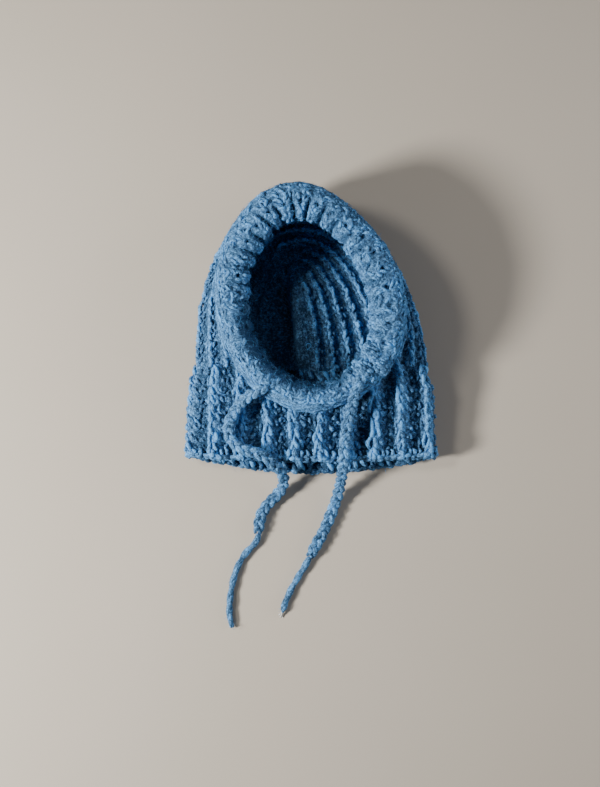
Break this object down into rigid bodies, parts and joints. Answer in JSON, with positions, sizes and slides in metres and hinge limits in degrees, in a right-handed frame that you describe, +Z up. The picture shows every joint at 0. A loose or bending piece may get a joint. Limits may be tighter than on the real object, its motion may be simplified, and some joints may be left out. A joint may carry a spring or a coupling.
{
  "type": "crocheted balaclava",
  "caption": "Crocheted wool balaclava lying on its back, with a ribbed hood and neck, a rolled ribbed band round the face opening and loose drawstring ends.",
  "frame": {"origin": "middle of the crocheted body's underside, on the surface that it lies on; the loose cords are not counted", "axes": "+X across the neck to the right as seen with the face opening up, +Y from the neck's hem to the crown, +Z up, out of the face opening"},
  "size_m": [0.284, 0.5011, 0.1141],
  "materials": {
    "hood_wool": "thick heathered wool yarn, crocheted in ribs",
    "neck_wool": "thick heathered wool yarn, crocheted in deep ribs",
    "band_wool": "thick heathered wool yarn, soft rolled edge",
    "cord_wool": "heathered wool yarn, crocheted cord and plain yarn ends"
  },
  "bodies": {
    "root": {"hood": "hood_wool", "neck": "neck_wool", "face_band": "band_wool", "drawstring_left": "cord_wool", "drawstring_right": "cord_wool", "tail_left": "cord_wool", "tail_right": "cord_wool"}
  },
  "joints": []
}
